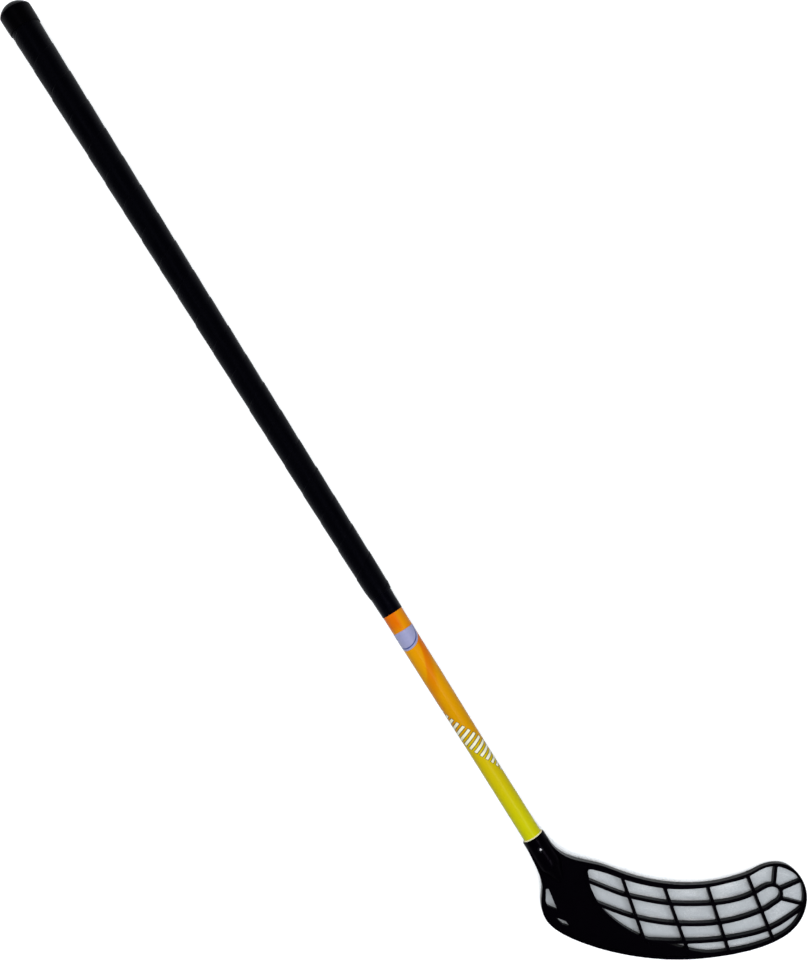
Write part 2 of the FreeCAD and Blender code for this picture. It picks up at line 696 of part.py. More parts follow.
def slab(name, depth):
    """All that lies within a depth about the blade's bent middle face: flat heel, bent toe."""
    span = cell("blade_length")
    heel = doc.addObject("Part::Box", name + "_heel")
    bind(heel, Length=span, Width=span * 2, Height=depth, X=BEND_PLACE - span, Y=-span, Z=-depth / 2)
    ahead = doc.addObject("Part::Box", name + "_ahead")
    bind(ahead, Length=span, Width=span * 2, Height=span * 2, X=BEND_PLACE, Y=-span, Z=-span)
    outer = roller(name + "_outer", BEND_RADIUS + depth / 2, depth / 2, span)
    inner = roller(name + "_inner", BACK_RADIUS, -depth / 2, span)
    ring = combine("Part::Cut", name + "_ring", outer, inner)
    toe = combine("Part::Common", name + "_toe", ring, ahead)
    return combine("Part::Fuse", name, heel, toe)


def make_blade_plate():
    """The moulded plate: rim, ribs and heel plate, bent towards the toe, without its socket."""
    outline = outline_curve()
    inside_face = closed_face(beside(outline, float(cell("rim_lip"))))
    field_curve = smooth_curve([blade_point(shares) for shares in FIELD_SHARES], closed=True)
    field = closed_face(field_curve)
    field_edge = closed_face(beside(field_curve, float(cell("rib_width")), closed=True))
    zone = flat_polygon(HEEL_ZONE_SHARES)
    heel_plate = closed_face(beside(outline, float(cell("heel_border")))).common(zone).cut(field_edge)
    cells = field.cut(plan_of_ribs()).Faces
    least = NARROW_AREA_SHARE * float(cell("blade_height")) ** 2
    wide = [face for face in cells if face.Area > least]
    narrow = [face for face in cells if face.Area <= least]
    slits = Part.Compound(narrow + [flat_polygon(hole) for hole in HEEL_OPENING_SHARES])
    block = prism("blade_block", plan("blade_outline", closed_face(outline)))
    shell = combine("Part::Common", "blade_shell", block, slab("rim_slab", cell("rim_depth")))
    well = prism("lip_block", plan("lip_outline", inside_face))
    recess = combine("Part::Cut", "lip_recess", well, slab("rib_slab", cell("rib_depth")))
    lipped = combine("Part::Cut", "lipped_blade", shell, recess)
    heel_block = prism("heel_block", plan("heel_plan", heel_plate))
    heel_recess = combine("Part::Cut", "heel_recess", heel_block, slab("plate_slab", cell("plate_depth")))
    thinned = combine("Part::Cut", "thinned_blade", lipped, heel_recess)
    opening_block = prism("opening_block", plan("opening_plan", Part.Compound(wide)))
    holes = round_corners("rounded_openings", opening_block)
    opened = combine("Part::Cut", "opened_blade", thinned, holes)
    plate = combine("Part::Cut", "blade_plate", opened, prism("slit_block", plan("slit_plan", slits)))
    plate.Placement = FreeCAD.Placement(FreeCAD.Vector(), FreeCAD.Rotation(Z_AXIS, 0))
    bind(plate, X=MOUTH)
    plate.setExpression("Placement.Rotation.Angle", cell("lie_angle").formula)
    doc.recompute()
    return plate


def make_socket():
    """The outside of the socket and the ridge that runs on from it into the heel plate."""
    bevel = cell("mouth_round")
    end = FLOOR + cell("socket_wall")
    corners = [
        (ZERO, ZERO),
        (ZERO, MOUTH_RADIUS - bevel),
        (bevel, MOUTH_RADIUS),
        (end, MOUTH_RADIUS + cell("socket_swell")),
        (end + cell("ridge_length"), cell("ridge_tip_diameter") / 2),
        (end + cell("ridge_length"), ZERO),
    ]
    body = turned_body("socket_outside", corners)
    bind(body, X=MOUTH)
    return body


def make_blade():
    """The blade: its plate and socket in one, bored for the tube and for the screw."""
    whole = combine("Part::Fuse", "blade_whole", make_blade_plate(), make_socket())
    bore = doc.addObject("Part::Cylinder", "socket_bore")
    bore.Placement = FreeCAD.Placement(FreeCAD.Vector(), ALONG_SHAFT)
    over = cell("overrun")
    bind(bore, Radius=BORE_RADIUS, Height=FLOOR + over, X=MOUTH - over)
    bored = combine("Part::Cut", "bored_blade", whole, bore)
    clearance = cell("screw_clearance")
    head_hole = cell("screw_head_diameter") / 2 + clearance
    cone_top = SCREW_HEAD_TOP - cell("screw_head_edge")
    cone_height = cell("screw_head_height") - cell("screw_head_edge")
    shank_hole = doc.addObject("Part::Cylinder", "shank_hole")
    bind(shank_hole, Radius=SHANK_HOLE_RADIUS, Height=MOUTH_RADIUS, X=SCREW_PLACE)
    seat = doc.addObject("Part::Cone", "screw_seat")
    bind(seat, Radius1=SHANK_HOLE_RADIUS, Radius2=head_hole, Height=cone_height)
    bind(seat, X=SCREW_PLACE, Z=cone_top - cone_height)
    recess = doc.addObject("Part::Cylinder", "screw_recess")
    bind(recess, Radius=head_hole, Height=cell("screw_sink") + cell("screw_head_edge") + over)
    bind(recess, X=SCREW_PLACE, Z=cone_top)
    tools = doc.addObject("Part::MultiFuse", "screw_cuts")
    tools.Shapes = [shank_hole, seat, recess]
    blade = combine("Part::Cut", "blade", bored, tools)
    blade.Label = "blade"
    doc.recompute()
    return blade


PIECES = [
    make_tube(),
    make_cap(),
    make_grip(),
    make_finish_tape(),
    make_label(),
    make_glue(),
    make_screw(),
    make_blade(),
]
doc.recompute()

for thing in doc.Objects:
    if "Invalid" in thing.State or "Error" in thing.State:
        raise RuntimeError("%s failed: %s" % (thing.Label, thing.State))
for piece in PIECES:
    if piece.Shape.isNull() or not piece.Shape.isValid():
        raise RuntimeError(piece.Label + " has no valid shape")

os.makedirs("parts", exist_ok=True)
for piece in PIECES:
    piece.Shape.exportStep("parts/%s.step" % piece.Label)
    print("%s: %d solid(s), %.0f mm3" % (piece.Label, len(piece.Shape.Solids), piece.Shape.Volume))
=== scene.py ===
"""A floorball stick in a plain studio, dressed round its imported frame.

Lengths are millimetres in the pieces' sizes, and metres in the finishes, the studio and the meshes. The
frame is the part's own: the origin is the middle of the tube's butt end, +X runs down the shaft, +Z is
square to the blade's face and the blade's toe reaches towards +Y.
"""
import logging
import math
from dataclasses import dataclass
from enum import Enum

import bmesh
import bpy
import numpy as np
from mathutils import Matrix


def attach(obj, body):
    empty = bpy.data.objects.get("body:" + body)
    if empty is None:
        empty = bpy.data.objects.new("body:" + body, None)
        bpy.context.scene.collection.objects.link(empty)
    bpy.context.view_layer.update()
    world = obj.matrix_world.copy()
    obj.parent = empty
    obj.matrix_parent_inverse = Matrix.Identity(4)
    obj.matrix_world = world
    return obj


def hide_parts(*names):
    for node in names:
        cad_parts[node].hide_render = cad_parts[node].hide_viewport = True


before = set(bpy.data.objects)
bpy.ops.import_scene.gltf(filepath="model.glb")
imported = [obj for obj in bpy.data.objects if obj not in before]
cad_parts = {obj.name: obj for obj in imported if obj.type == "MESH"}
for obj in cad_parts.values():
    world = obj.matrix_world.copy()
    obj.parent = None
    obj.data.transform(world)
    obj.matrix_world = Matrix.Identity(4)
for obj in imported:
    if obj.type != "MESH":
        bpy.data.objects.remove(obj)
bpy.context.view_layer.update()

MM = 0.001
WELD = 1e-6
ALL_SMOOTH = 180.0
LOG = logging.getLogger("floorball_stick")
Socket = bpy.types.NodeSocket
Triple = tuple[float, float, float]


class Body(str, Enum):
    """The bodies of the frame that pieces ride on."""

    STICK = "stick"
    CAP = "cap"
    SCREW = "screw"


class Slot(str, Enum):
    """The record's material slots."""

    LACQUER = "shaft_lacquer"
    BLADE = "blade_plastic"
    STEEL = "screw_steel"
    GLUE = "glue_cream"
    GRIP = "grip_foam"
    TAPE = "tape_vinyl"
    CAP = "cap_rubber"
    LABEL = "label_film"


def linear(red: float, green: float, blue: float) -> tuple[float, float, float, float]:
    """Turn a colour as seen on a screen, 0 to 255, into the shader's linear colour.

    Args:
        red: The red part.
        green: The green part.
        blue: The blue part.

    Returns:
        The linear colour with full alpha.
    """
    seen = np.array((red, green, blue)) / 255.0
    light = np.where(seen <= 0.04045, seen / 12.92, ((seen + 0.055) / 1.055) ** 2.4)
    return (float(light[0]), float(light[1]), float(light[2]), 1.0)


class Nodes:
    """A node tree, with short ways to add nodes to it."""

    def __init__(self, tree: bpy.types.NodeTree) -> None:
        """Keep the tree."""
        self.tree = tree

    def node(self, kind: str, **settings: object) -> bpy.types.Node:
        """Add a node.

        Args:
            kind: The node's type name.
            settings: Its properties.

        Returns:
            The new node.
        """
        made = self.tree.nodes.new(kind)
        for name, value in settings.items():
            setattr(made, name, value)
        return made

    def put(self, socket: Socket, value: object) -> None:
        """Feed a socket from another socket, or set it to a constant.

        Args:
            socket: The input.
            value: An output socket or a constant.
        """
        if isinstance(value, Socket):
            self.tree.links.new(value, socket)
        else:
            socket.default_value = value

    def parts(self, vector: Socket) -> tuple[Socket, ...]:
        """Split a vector.

        Args:
            vector: The vector.

        Returns:
            Its three parts.
        """
        split = self.node("ShaderNodeSeparateXYZ")
        self.put(split.inputs[0], vector)
        return tuple(split.outputs)

    def math(self, operation: str, first: object, second: object = 0.0) -> Socket:
        """Work out one number from one or two others.

        Args:
            operation: The Math node's operation.
            first: A socket or a constant.
            second: A socket or a constant.

        Returns:
            The result.
        """
        made = self.node("ShaderNodeMath", operation=operation)
        self.put(made.inputs[0], first)
        self.put(made.inputs[1], second)
        return made.outputs[0]

    def distance(self, first: Socket, second: Socket) -> Socket:
        """How far a spot lies from zero: the root of the sum of its parts' squares.

        Args:
            first: One part.
            second: The other.

        Returns:
            The distance.
        """
        square = self.math("ADD", self.math("POWER", first, 2.0), self.math("POWER", second, 2.0))
        return self.math("SQRT", square)

    def stretch(self, vector: Socket, scale: Triple) -> Socket:
        """Scale a vector part by part.

        Args:
            vector: The vector.
            scale: The three factors.

        Returns:
            The scaled vector.
        """
        made = self.node("ShaderNodeMapping")
        self.put(made.inputs["Vector"], vector)
        made.inputs["Scale"].default_value = scale
        return made.outputs[0]

    def noise(self, vector: Socket, scale: float, detail: float = 3.0, distortion: float = 0.0) -> Socket:
        """A cloudy pattern from 0 to 1.

        Args:
            vector: Where it is read.
            scale: Clouds to the metre.
            detail: Its octaves.
            distortion: How far it is swirled.

        Returns:
            The pattern.
        """
        made = self.node("ShaderNodeTexNoise")
        self.put(made.inputs["Vector"], vector)
        made.inputs["Scale"].default_value = scale
        made.inputs["Detail"].default_value = detail
        made.inputs["Distortion"].default_value = distortion
        return made.outputs["Fac"]

    def span(self, value: object, low: float, high: float, bottom: float = 0.0, top: float = 1.0) -> Socket:
        """Turn a range of values smoothly into another.

        Args:
            value: The value.
            low: Where the range starts.
            high: Where it ends.
            bottom: The result up to low.
            top: The result from high on.

        Returns:
            The new value.
        """
        made = self.node("ShaderNodeMapRange", interpolation_type="SMOOTHSTEP")
        for socket, number in zip(made.inputs, (value, low, high, bottom, top)):
            self.put(socket, number)
        return made.outputs[0]

    def ramp(self, value: Socket, stops: tuple) -> Socket:
        """Colours along a value.

        Args:
            value: From 0 to 1.
            stops: Pairs of a position and a colour.

        Returns:
            The colour.
        """
        made = self.node("ShaderNodeValToRGB")
        marks = made.color_ramp.elements
        while len(marks) < len(stops):
            marks.new(1.0)
        for mark, (position, colour) in zip(marks, stops):
            mark.position = position
            mark.color = colour
        self.put(made.inputs[0], value)
        return made.outputs[0]

    def mix(self, share: object, first: object, second: object) -> Socket:
        """Mix two colours.

        Args:
            share: How much of the second.
            first: A colour or its socket.
            second: A colour or its socket.

        Returns:
            The mixed colour.
        """
        made = self.node("ShaderNodeMix", data_type="RGBA")
        self.put(made.inputs["Factor"], share)
        self.put(made.inputs[6], first)
        self.put(made.inputs[7], second)
        return made.outputs[2]

    def rays(self) -> tuple[Socket, Socket]:
        """Whether a ray comes from the camera, and whether it was mirrored or let through.

        Returns:
            Two values, each 0 or 1.
        """
        path = self.node("ShaderNodeLightPath").outputs
        return path["Is Camera Ray"], self.math("MAXIMUM", path["Is Glossy Ray"], path["Is Transmission Ray"])


class Paint(Nodes):
    """A material with its one shader."""

    def __init__(self, name: str) -> None:
        """Start the material.

        Args:
            name: Its name.
        """
        self.material = bpy.data.materials.new(name)
        self.material.use_nodes = True
        super().__init__(self.material.node_tree)
        self.shader = self.tree.nodes["Principled BSDF"]

    def dress(self, **inputs: object) -> None:
        """Set inputs of the shader, named with underscores for spaces.

        Args:
            inputs: Sockets or constants.
        """
        for name, value in inputs.items():
            self.put(self.shader.inputs[name.replace("_", " ")], value)

    def place(self) -> Socket:
        """The Object coordinates."""
        return self.node("ShaderNodeTexCoord").outputs["Object"]

    def chart(self) -> Socket:
        """The piece's own UV map."""
        return self.node("ShaderNodeTexCoord").outputs["UV"]

    def bump(self, height: Socket, depth: float, strength: float = 1.0) -> None:
        """Let a height raise the surface's shading.

        Args:
            height: From 0 to 1.
            depth: The full height in metres.
            strength: How much of it shows.
        """
        made = self.node("ShaderNodeBump")
        made.inputs["Strength"].default_value = strength
        made.inputs["Distance"].default_value = depth
        self.put(made.inputs["Height"], height)
        self.put(self.shader.inputs["Normal"], made.outputs[0])


@dataclass(frozen=True)
class LacquerFinish:
    """Satin lacquer: broad soft flames from orange to yellow-green, and a slanting row of pale dashes."""

    coat_start: float = 0.667
    coat_end: float = 0.950
    flame_start: float = 0.722
    flame_end: float = 0.790
    flame_half: float = 0.6
    flame_core: float = 0.1
    flame_rise_share: float = 0.6
    flame_fall_share: float = 1.5
    flame_tail_share: float = 0.35
    patch_place: float = 0.697
    patch_fade: float = 0.012
    patch_turn: float = 0.45
    cloud_scale: float = 24.0
    drift: float = 0.03
    slant_share: float = 0.6
    dash_middle: float = 0.832
    dash_slope: float = 0.0178
    dash_reach: float = 0.0175
    dash_lean: float = 0.0035
    dash_pitch: float = 0.0066
    dash_half: float = 0.0015
    dash_line: float = 0.0007
    core_radius: float = 0.0092
    core_edge: float = 0.0001
    coat_edge: float = 0.001
    fleck_scale: float = 900.0
    skin_scale: float = 420.0
    skin_depth: float = 0.00004

    def flames(self, paint: Paint, along: Socket, turn: Socket, wander: Socket) -> Socket:
        """How deep the colour is, from 0 to 1.

        One broad tongue winds round the shaft: its middle turns smoothly from one side to the other between
        two places. The colour starts sharply on one side of that middle and fades softly on the other. A
        patch lies above it, beside the grip. A cloudy pattern bends their edges.

        Args:
            paint: The material.
            along: The place along the shaft.
            turn: The angle round the shaft, in radians from the top.
            wander: The cloudy pattern, about 0.

        Returns:
            The depth of the colour.
        """
        bent = paint.math("ADD", turn, wander)
        middle = paint.span(along, self.flame_start, self.flame_end, 1.0, -1.0)
        off_middle = paint.math("SUBTRACT", bent, middle)
        tongue = paint.math(
            "MULTIPLY",
            paint.span(off_middle, -self.flame_half, -self.flame_half * self.flame_rise_share),
            paint.span(off_middle, self.flame_core, self.flame_half * self.flame_fall_share, 1.0, 0.0),
        )
        tongue = paint.math("MULTIPLY", tongue, paint.span(along, self.patch_place, self.flame_start))
        tail = paint.span(along, self.flame_end, self.dash_middle, 1.0, self.flame_tail_share)
        tongue = paint.math("MULTIPLY", tongue, tail)
        above = paint.span(along, self.patch_place, self.patch_place + self.patch_fade, 1.0, 0.0)
        aside = paint.span(bent, 0.0, self.patch_turn, 1.0, 0.0)
        return paint.math("MAXIMUM", tongue, paint.math("MULTIPLY", above, aside))

    def dashes(self, paint: Paint, along: Socket, turn: Socket) -> Socket:
        """How far a point lies outside the nearest dash.

        The dashes stand side by side in a band that winds round the shaft. The distance is the larger of
        the distances past the dash's side and past the band's edge, below zero inside.

        Args:
            paint: The material.
            along: The place along the shaft.
            turn: The angle round the shaft, in radians from the top.

        Returns:
            The distance in metres.
        """
        middle = paint.math("MULTIPLY_ADD", turn, self.dash_slope)
        middle.node.inputs[2].default_value = self.dash_middle
        off_middle = paint.math("ABSOLUTE", paint.math("SUBTRACT", along, middle))
        past_edge = paint.math("SUBTRACT", off_middle, self.dash_reach)
        leaning = paint.math("ADD", along, paint.math("MULTIPLY", turn, self.dash_lean))
        step = paint.math("FRACT", paint.math("DIVIDE", leaning, self.dash_pitch))
        off_step = paint.math("ABSOLUTE", paint.math("SUBTRACT", step, 0.5))
        off_dash = paint.math("MULTIPLY", off_step, self.dash_pitch)
        past_side = paint.math("SUBTRACT", off_dash, self.dash_half)
        return paint.math("MAXIMUM", past_edge, past_side)

    def material(self) -> bpy.types.Material:
        """Make the material.

        Returns:
            The lacquer.
        """
        paint = Paint(Slot.LACQUER.value)
        place = paint.place()
        along, across, up = paint.parts(place)
        turn = paint.math("ARCTAN2", across, up)
        cloud = paint.noise(paint.stretch(place, (0.6, 1.6, 1.6)), self.cloud_scale, 1.0, 0.8)
        wander = paint.math("SUBTRACT", cloud, 0.5)
        slant = paint.math("MULTIPLY", turn, self.dash_slope * self.slant_share)
        slanted = paint.math("SUBTRACT", along, slant)
        drifted = paint.math("ADD", slanted, paint.math("MULTIPLY", wander, self.drift))
        share = paint.span(drifted, self.coat_start, self.coat_end)
        share.node.interpolation_type = "LINEAR"
        light = paint.ramp(share, (
            (0.0, linear(219, 128, 3)), (0.22, linear(220, 149, 1)), (0.54, linear(206, 146, 1)),
            (0.62, linear(200, 174, 8)), (1.0, linear(193, 196, 6)),
        ))
        deep = paint.ramp(share, (
            (0.0, linear(224, 104, 0)), (0.20, linear(214, 114, 0)), (0.54, linear(204, 140, 0)),
            (0.62, linear(194, 168, 4)), (1.0, linear(188, 190, 5)),
        ))
        flame = self.flames(paint, along, turn, wander)
        off_axis = paint.distance(across, up)
        core = paint.span(off_axis, self.core_radius, self.core_radius + self.core_edge, 1.0, 0.0)
        covered = paint.span(along, self.coat_start - self.coat_edge, self.coat_start, 1.0, 0.0)
        bare = paint.math("MAXIMUM", core, covered)
        coat = paint.mix(bare, paint.mix(flame, light, deep), linear(12, 12, 15))
        outside = self.dashes(paint, along, turn)
        near = paint.span(outside, self.dash_line * 0.7, self.dash_line * 1.3, 1.0, 0.0)
        inside = paint.span(outside, -self.dash_line * 0.3, self.dash_line * 0.3, 1.0, 0.0)
        lined = paint.mix(near, coat, linear(78, 68, 20))
        fleck = paint.noise(place, self.fleck_scale, 2.0)
        print_white = paint.mix(fleck, linear(226, 225, 196), linear(238, 238, 214))
        paint.dress(
            Base_Color=paint.mix(inside, lined, print_white),
            Roughness=paint.span(fleck, 0.2, 0.8, 0.3, 0.4),
            Specular_IOR_Level=0.1,
        )
        paint.bump(paint.noise(place, self.skin_scale, 2.0), self.skin_depth, 0.35)
        return paint.material


@dataclass(frozen=True)
class MouldedFinish:
    """Black moulded plastic or rubber with a fine grain and faint flow clouds."""

    slot: Slot
    dark: Triple
    pale: Triple
    roughness: tuple[float, float]
    grain_scale: float
    grain_depth: float
    specular: float
    cloud_scale: float = 38.0

    def material(self) -> bpy.types.Material:
        """Make the material.

        Returns:
            The plastic.
        """
        paint = Paint(self.slot.value)
        place = paint.place()
        clouds = paint.noise(place, self.cloud_scale, 4.0, 0.6)
        grain = paint.noise(place, self.grain_scale, 3.0)
        paint.dress(
            Base_Color=paint.mix(clouds, linear(*self.dark), linear(*self.pale)),
            Roughness=paint.span(grain, 0.25, 0.75, *self.roughness),
            Specular_IOR_Level=self.specular,
            Specular_Tint=(0.85, 0.75, 1.0, 1.0),
        )
        paint.bump(grain, self.grain_depth, 0.5)
        return paint.material


@dataclass(frozen=True)
class GripFinish:
    """Soft black band: rows of pricked holes, darkened as painted shade, and a slightly tacky skin with wear.
    """

    hole_pitch: float = 0.0047
    hole_radius: float = 0.00062
    hole_depth: float = 0.0003
    crease_scale: float = 240.0
    wear_scale: float = 26.0

    def material(self) -> bpy.types.Material:
        """Make the material.

        Returns:
            The band's skin.
        """
        paint = Paint(Slot.GRIP.value)
        chart = paint.chart()
        along, across, _ = paint.parts(chart)
        cells = []
        for run in (along, across):
            step = paint.math("FRACT", paint.math("DIVIDE", run, self.hole_pitch))
            cells.append(paint.math("MULTIPLY", paint.math("SUBTRACT", step, 0.5), self.hole_pitch))
        skin = paint.span(paint.distance(*cells), self.hole_radius * 0.6, self.hole_radius * 1.4)
        creases = paint.noise(paint.stretch(chart, (1.0, 2.4, 1.0)), self.crease_scale, 4.0, 0.4)
        wear_and_highlight = paint.noise(chart, self.wear_scale, 3.0, 0.5)
        tone = paint.mix(wear_and_highlight, linear(0, 0, 2), linear(3, 3, 6))
        height = paint.math("ADD", paint.math("MULTIPLY", skin, 0.8), paint.math("MULTIPLY", creases, 0.2))
        # painted shade: the holes are only bumps, and their darker colour stands in for the shade inside them
        paint.dress(
            Base_Color=paint.mix(skin, linear(0, 0, 1), tone),
            Roughness=paint.span(wear_and_highlight, 0.3, 0.7, 0.38, 0.52),
            Specular_IOR_Level=0.05,
            Specular_Tint=(0.72, 0.72, 1.0, 1.0),
        )
        paint.bump(height, self.hole_depth, 0.35)
        return paint.material


@dataclass(frozen=True)
class TapeFinish:
    """Stretched black tape: fine lines round the shaft and soft wrinkles, with painted shade in their
    troughs.
    """

    line_scale: float = 900.0
    wrinkle_scale: float = 130.0
    wrinkle_depth: float = 0.00025

    def material(self) -> bpy.types.Material:
        """Make the material.

        Returns:
            The tape.
        """
        paint = Paint(Slot.TAPE.value)
        chart = paint.chart()
        lines = paint.noise(paint.stretch(chart, (0.08, 1.0, 1.0)), self.line_scale, 2.0)
        wrinkles = paint.noise(paint.stretch(chart, (1.0, 0.5, 1.0)), self.wrinkle_scale, 3.0, 0.8)
        # painted shade: the colour follows the wrinkles' height, darker in their troughs and lighter on their
        # crests
        paint.dress(
            Base_Color=paint.mix(wrinkles, linear(0, 0, 3), linear(3, 3, 7)),
            Roughness=paint.span(wrinkles, 0.3, 0.7, 0.3, 0.42),
            Specular_IOR_Level=0.06,
            Specular_Tint=(0.7, 0.7, 1.0, 1.0),
        )
        height = paint.math("ADD", paint.math("MULTIPLY", lines, 0.3), paint.math("MULTIPLY", wrinkles, 0.7))
        paint.bump(height, self.wrinkle_depth, 0.5)
        return paint.material


@dataclass(frozen=True)
class LabelFinish:
    """Pale printed film with a darker line just inside its curved edge."""

    line_start: float = 0.0019
    line_end: float = 0.0031
    print_scale: float = 300.0
    print_depth: float = 0.00003
    wear_scale: float = 420.0

    def material(self) -> bpy.types.Material:
        """Make the material.

        Returns:
            The film.
        """
        paint = Paint(Slot.LABEL.value)
        _, inset, _ = paint.parts(paint.chart())
        place = paint.place()
        print_clouds = paint.noise(place, self.print_scale, 3.0)
        streaks = paint.noise(paint.stretch(place, (1.0, 0.3, 0.3)), self.wear_scale, 3.0)
        wear = paint.span(streaks, 0.35, 0.65)
        field_tone = paint.mix(print_clouds, linear(142, 146, 186), linear(160, 162, 198))
        past = paint.span(inset, self.line_start * 0.85, self.line_start * 1.15)
        before = paint.span(inset, self.line_end * 0.92, self.line_end * 1.08, 1.0, 0.0)
        line = paint.math("MULTIPLY", past, before)
        lined = paint.mix(line, field_tone, linear(58, 72, 132))
        paint.dress(
            Base_Color=lined,
            Roughness=paint.span(wear, 0.0, 1.0, 0.34, 0.44),
            Specular_IOR_Level=0.3,
        )
        paint.bump(print_clouds, self.print_depth, 0.3)
        return paint.material


@dataclass(frozen=True)
class GlueFinish:
    """Waxy cream glue with faint amber clouds and a lumpy skin."""

    cloud_scale: float = 320.0
    lump_scale: float = 900.0
    lump_depth: float = 0.00012
    glow_depth: float = 0.0006

    def material(self) -> bpy.types.Material:
        """Make the material.

        Returns:
            The glue.
        """
        paint = Paint(Slot.GLUE.value)
        place = paint.place()
        clouds = paint.noise(place, self.cloud_scale, 3.0, 0.5)
        paint.dress(
            Base_Color=paint.mix(clouds, linear(250, 240, 200), linear(236, 222, 168)),
            Roughness=paint.span(clouds, 0.3, 0.7, 0.38, 0.52),
            Specular_IOR_Level=0.4,
            Subsurface_Weight=0.15,
            Subsurface_Scale=self.glow_depth,
        )
        paint.bump(paint.noise(place, self.lump_scale, 2.0), self.lump_depth, 0.5)
        return paint.material


@dataclass(frozen=True)
class SteelFinish:
    """Dark steel with fine turning marks round the screw's axis, and a pale, less metallic spot round the
    recess that is a painted highlight.
    """

    axis_place: float = 0.9549
    # painted highlight: the radius of the pale spot round the screw's axis, and the share of it that is fully
    # pale
    highlight_radius: float = 0.0012
    highlight_share: float = 0.75
    mark_scale: float = 5200.0
    mark_depth: float = 0.00002

    def material(self) -> bpy.types.Material:
        """Make the material.

        Returns:
            The steel.
        """
        paint = Paint(Slot.STEEL.value)
        along, across, up = paint.parts(paint.place())
        aside = paint.math("SUBTRACT", along, self.axis_place)
        off_axis = paint.distance(aside, across)
        rings = paint.node("ShaderNodeCombineXYZ")
        paint.put(rings.inputs[0], off_axis)
        paint.put(rings.inputs[1], paint.math("MULTIPLY", up, 0.2))
        marks = paint.noise(rings.outputs[0], self.mark_scale, 2.0)
        dark = paint.mix(marks, linear(26, 26, 31), linear(44, 44, 50))
        # painted highlight: near-white colour for the spot round the recess, standing in for the light it
        # catches
        wear_and_highlight = paint.mix(marks, linear(214, 214, 220), linear(240, 240, 242))
        inner = self.highlight_radius * self.highlight_share
        paint.dress(
            Base_Color=paint.mix(paint.span(off_axis, inner, self.highlight_radius), wear_and_highlight, dark),
            Roughness=paint.span(marks, 0.2, 0.8, 0.2, 0.36),
            Metallic=paint.span(off_axis, inner, self.highlight_radius, 0.3, 1.0),
        )
        paint.bump(marks, self.mark_depth, 0.4)
        return paint.material


@dataclass
class Surface:
    """A mesh worked out as arrays: points, four-cornered faces and a UV pair for each point."""

    points: np.ndarray
    faces: np.ndarray
    chart: np.ndarray


def net(
    points: np.ndarray, chart: np.ndarray, wrap_rows: bool = False, wrap_columns: bool = False,
) -> Surface:
    """Join a grid of points into a surface: each face has four neighbours of the grid as its corners.

    Args:
        points: Rows by columns by three.
        chart: Rows by columns by two.
        wrap_rows: Whether the last row joins the first.
        wrap_columns: Whether the last column joins the first.

    Returns:
        The surface.
    """
    rows, columns = points.shape[:2]
    index = np.arange(rows * columns).reshape(rows, columns)
    if wrap_rows:
        index = np.vstack((index, index[:1]))
    if wrap_columns:
        index = np.hstack((index, index[:, :1]))
    corners = (index[:-1, :-1], index[1:, :-1], index[1:, 1:], index[:-1, 1:])
    return Surface(points.reshape(-1, 3), np.stack(corners, axis=-1).reshape(-1, 4), chart.reshape(-1, 2))


def round_axis(place: np.ndarray, radius: np.ndarray, angle: np.ndarray) -> np.ndarray:
    """Points round the shaft: the radius turned by the angle from +Z towards -Y, at a place along +X.

    Args:
        place: Millimetres along the shaft.
        radius: Millimetres from its axis.
        angle: Radians.

    Returns:
        The points in metres, with a last axis of three.
    """
    place, radius, angle = np.broadcast_arrays(place, radius, angle)
    return MM * np.stack((place, -radius * np.sin(angle), radius * np.cos(angle)), axis=-1)


def turned(profile: np.ndarray, segments: int, uneven: np.ndarray | float = 0.0) -> Surface:
    """A closed profile of places and radii, carried once round the shaft's axis.

    Args:
        profile: Rows of a place and a radius.
        segments: Steps round the axis.
        uneven: Millimetres added to the radius, rows by steps.

    Returns:
        The surface.
    """
    angle = np.linspace(0.0, 2 * np.pi, segments, endpoint=False)[None, :]
    place, radius = profile[:, :1], profile[:, 1:]
    chart = np.stack(np.broadcast_arrays(MM * radius * angle, MM * place), axis=-1)
    return net(round_axis(place, radius + uneven, angle), chart, wrap_rows=True, wrap_columns=True)


def arc(middle: tuple[float, float], radius: float, first: float, last: float, count: int) -> np.ndarray:
    """Points on an arc in the plane of place and radius.

    Args:
        middle: Its middle.
        radius: Its radius.
        first: The first angle in degrees, from +X towards a larger radius.
        last: The last angle.
        count: How many points.

    Returns:
        Rows of a place and a radius.
    """
    angle = np.radians(np.linspace(first, last, count))
    return np.stack((middle[0] + radius * np.cos(angle), middle[1] + radius * np.sin(angle)), axis=-1)


def make_piece(name: str, surface: Surface, sharp_degrees: float = 50.0) -> bpy.types.Object:
    """Put a surface into a mesh, close its seams and poles, and turn its faces outwards.

    Args:
        name: The piece's name.
        surface: The arrays.
        sharp_degrees: Faces that meet at more than this keep a sharp edge.

    Returns:
        The new object, at the origin.
    """
    mesh = bpy.data.meshes.new(name)
    mesh.from_pydata(surface.points.tolist(), [], surface.faces.tolist())
    corners = np.empty(len(mesh.loops), dtype=np.int32)
    mesh.loops.foreach_get("vertex_index", corners)
    chart = mesh.uv_layers.new(name="chart")
    chart.data.foreach_set("uv", surface.chart[corners].astype(np.float32).ravel())
    work = bmesh.new()
    work.from_mesh(mesh)
    bmesh.ops.remove_doubles(work, verts=work.verts, dist=WELD)
    bmesh.ops.recalc_face_normals(work, faces=work.faces)
    work.to_mesh(mesh)
    work.free()
    return place_mesh(name, mesh, sharp_degrees)


def place_mesh(name: str, mesh: bpy.types.Mesh, sharp_degrees: float) -> bpy.types.Object:
    """Make an object of a mesh and shade it smooth up to an angle.

    Args:
        name: The object's name.
        mesh: Its mesh.
        sharp_degrees: Faces that meet at more than this keep a sharp edge.

    Returns:
        The new object, at the origin.
    """
    mesh.shade_smooth()
    mesh.set_sharp_from_angle(angle=math.radians(sharp_degrees))
    piece = bpy.data.objects.new(name, mesh)
    bpy.context.scene.collection.objects.link(piece)
    return piece


